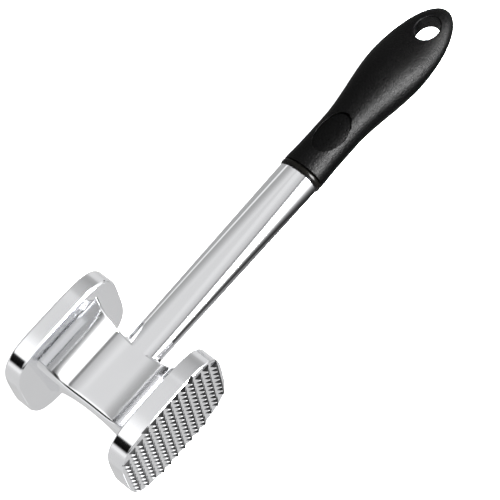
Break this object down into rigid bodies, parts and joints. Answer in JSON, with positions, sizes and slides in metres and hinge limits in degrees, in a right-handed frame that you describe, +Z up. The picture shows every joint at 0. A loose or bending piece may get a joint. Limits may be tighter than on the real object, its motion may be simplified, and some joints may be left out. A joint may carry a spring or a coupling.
{
  "type": "meat mallet",
  "caption": "Two-sided meat mallet: a cast aluminium head with one smooth and one toothed face, a flattened aluminium shaft and a moulded black grip with a hang hole.",
  "frame": {"origin": "centre of the smooth striking face, on the face", "axes": "+Y out of the smooth striking face, +X along the handle towards the hang hole, +Z up with the mallet lying on its side"},
  "size_m": [0.2456, 0.0649, 0.0512],
  "materials": {
    "aluminium": "cast and polished, satin on the striking face",
    "collar_plastic": "smooth black with a dark olive sheen",
    "core_plastic": "plain moulded",
    "grip_plastic": "black with a fine moulded grain",
    "pad_plastic": "smoother dark grey"
  },
  "bodies": {
    "root": {"head_casting": "aluminium", "front_collar": "collar_plastic", "grip_core": "core_plastic", "grip_shell": "grip_plastic", "thumb_pad_upper": "pad_plastic", "thumb_pad_lower": "pad_plastic"}
  },
  "joints": []
}
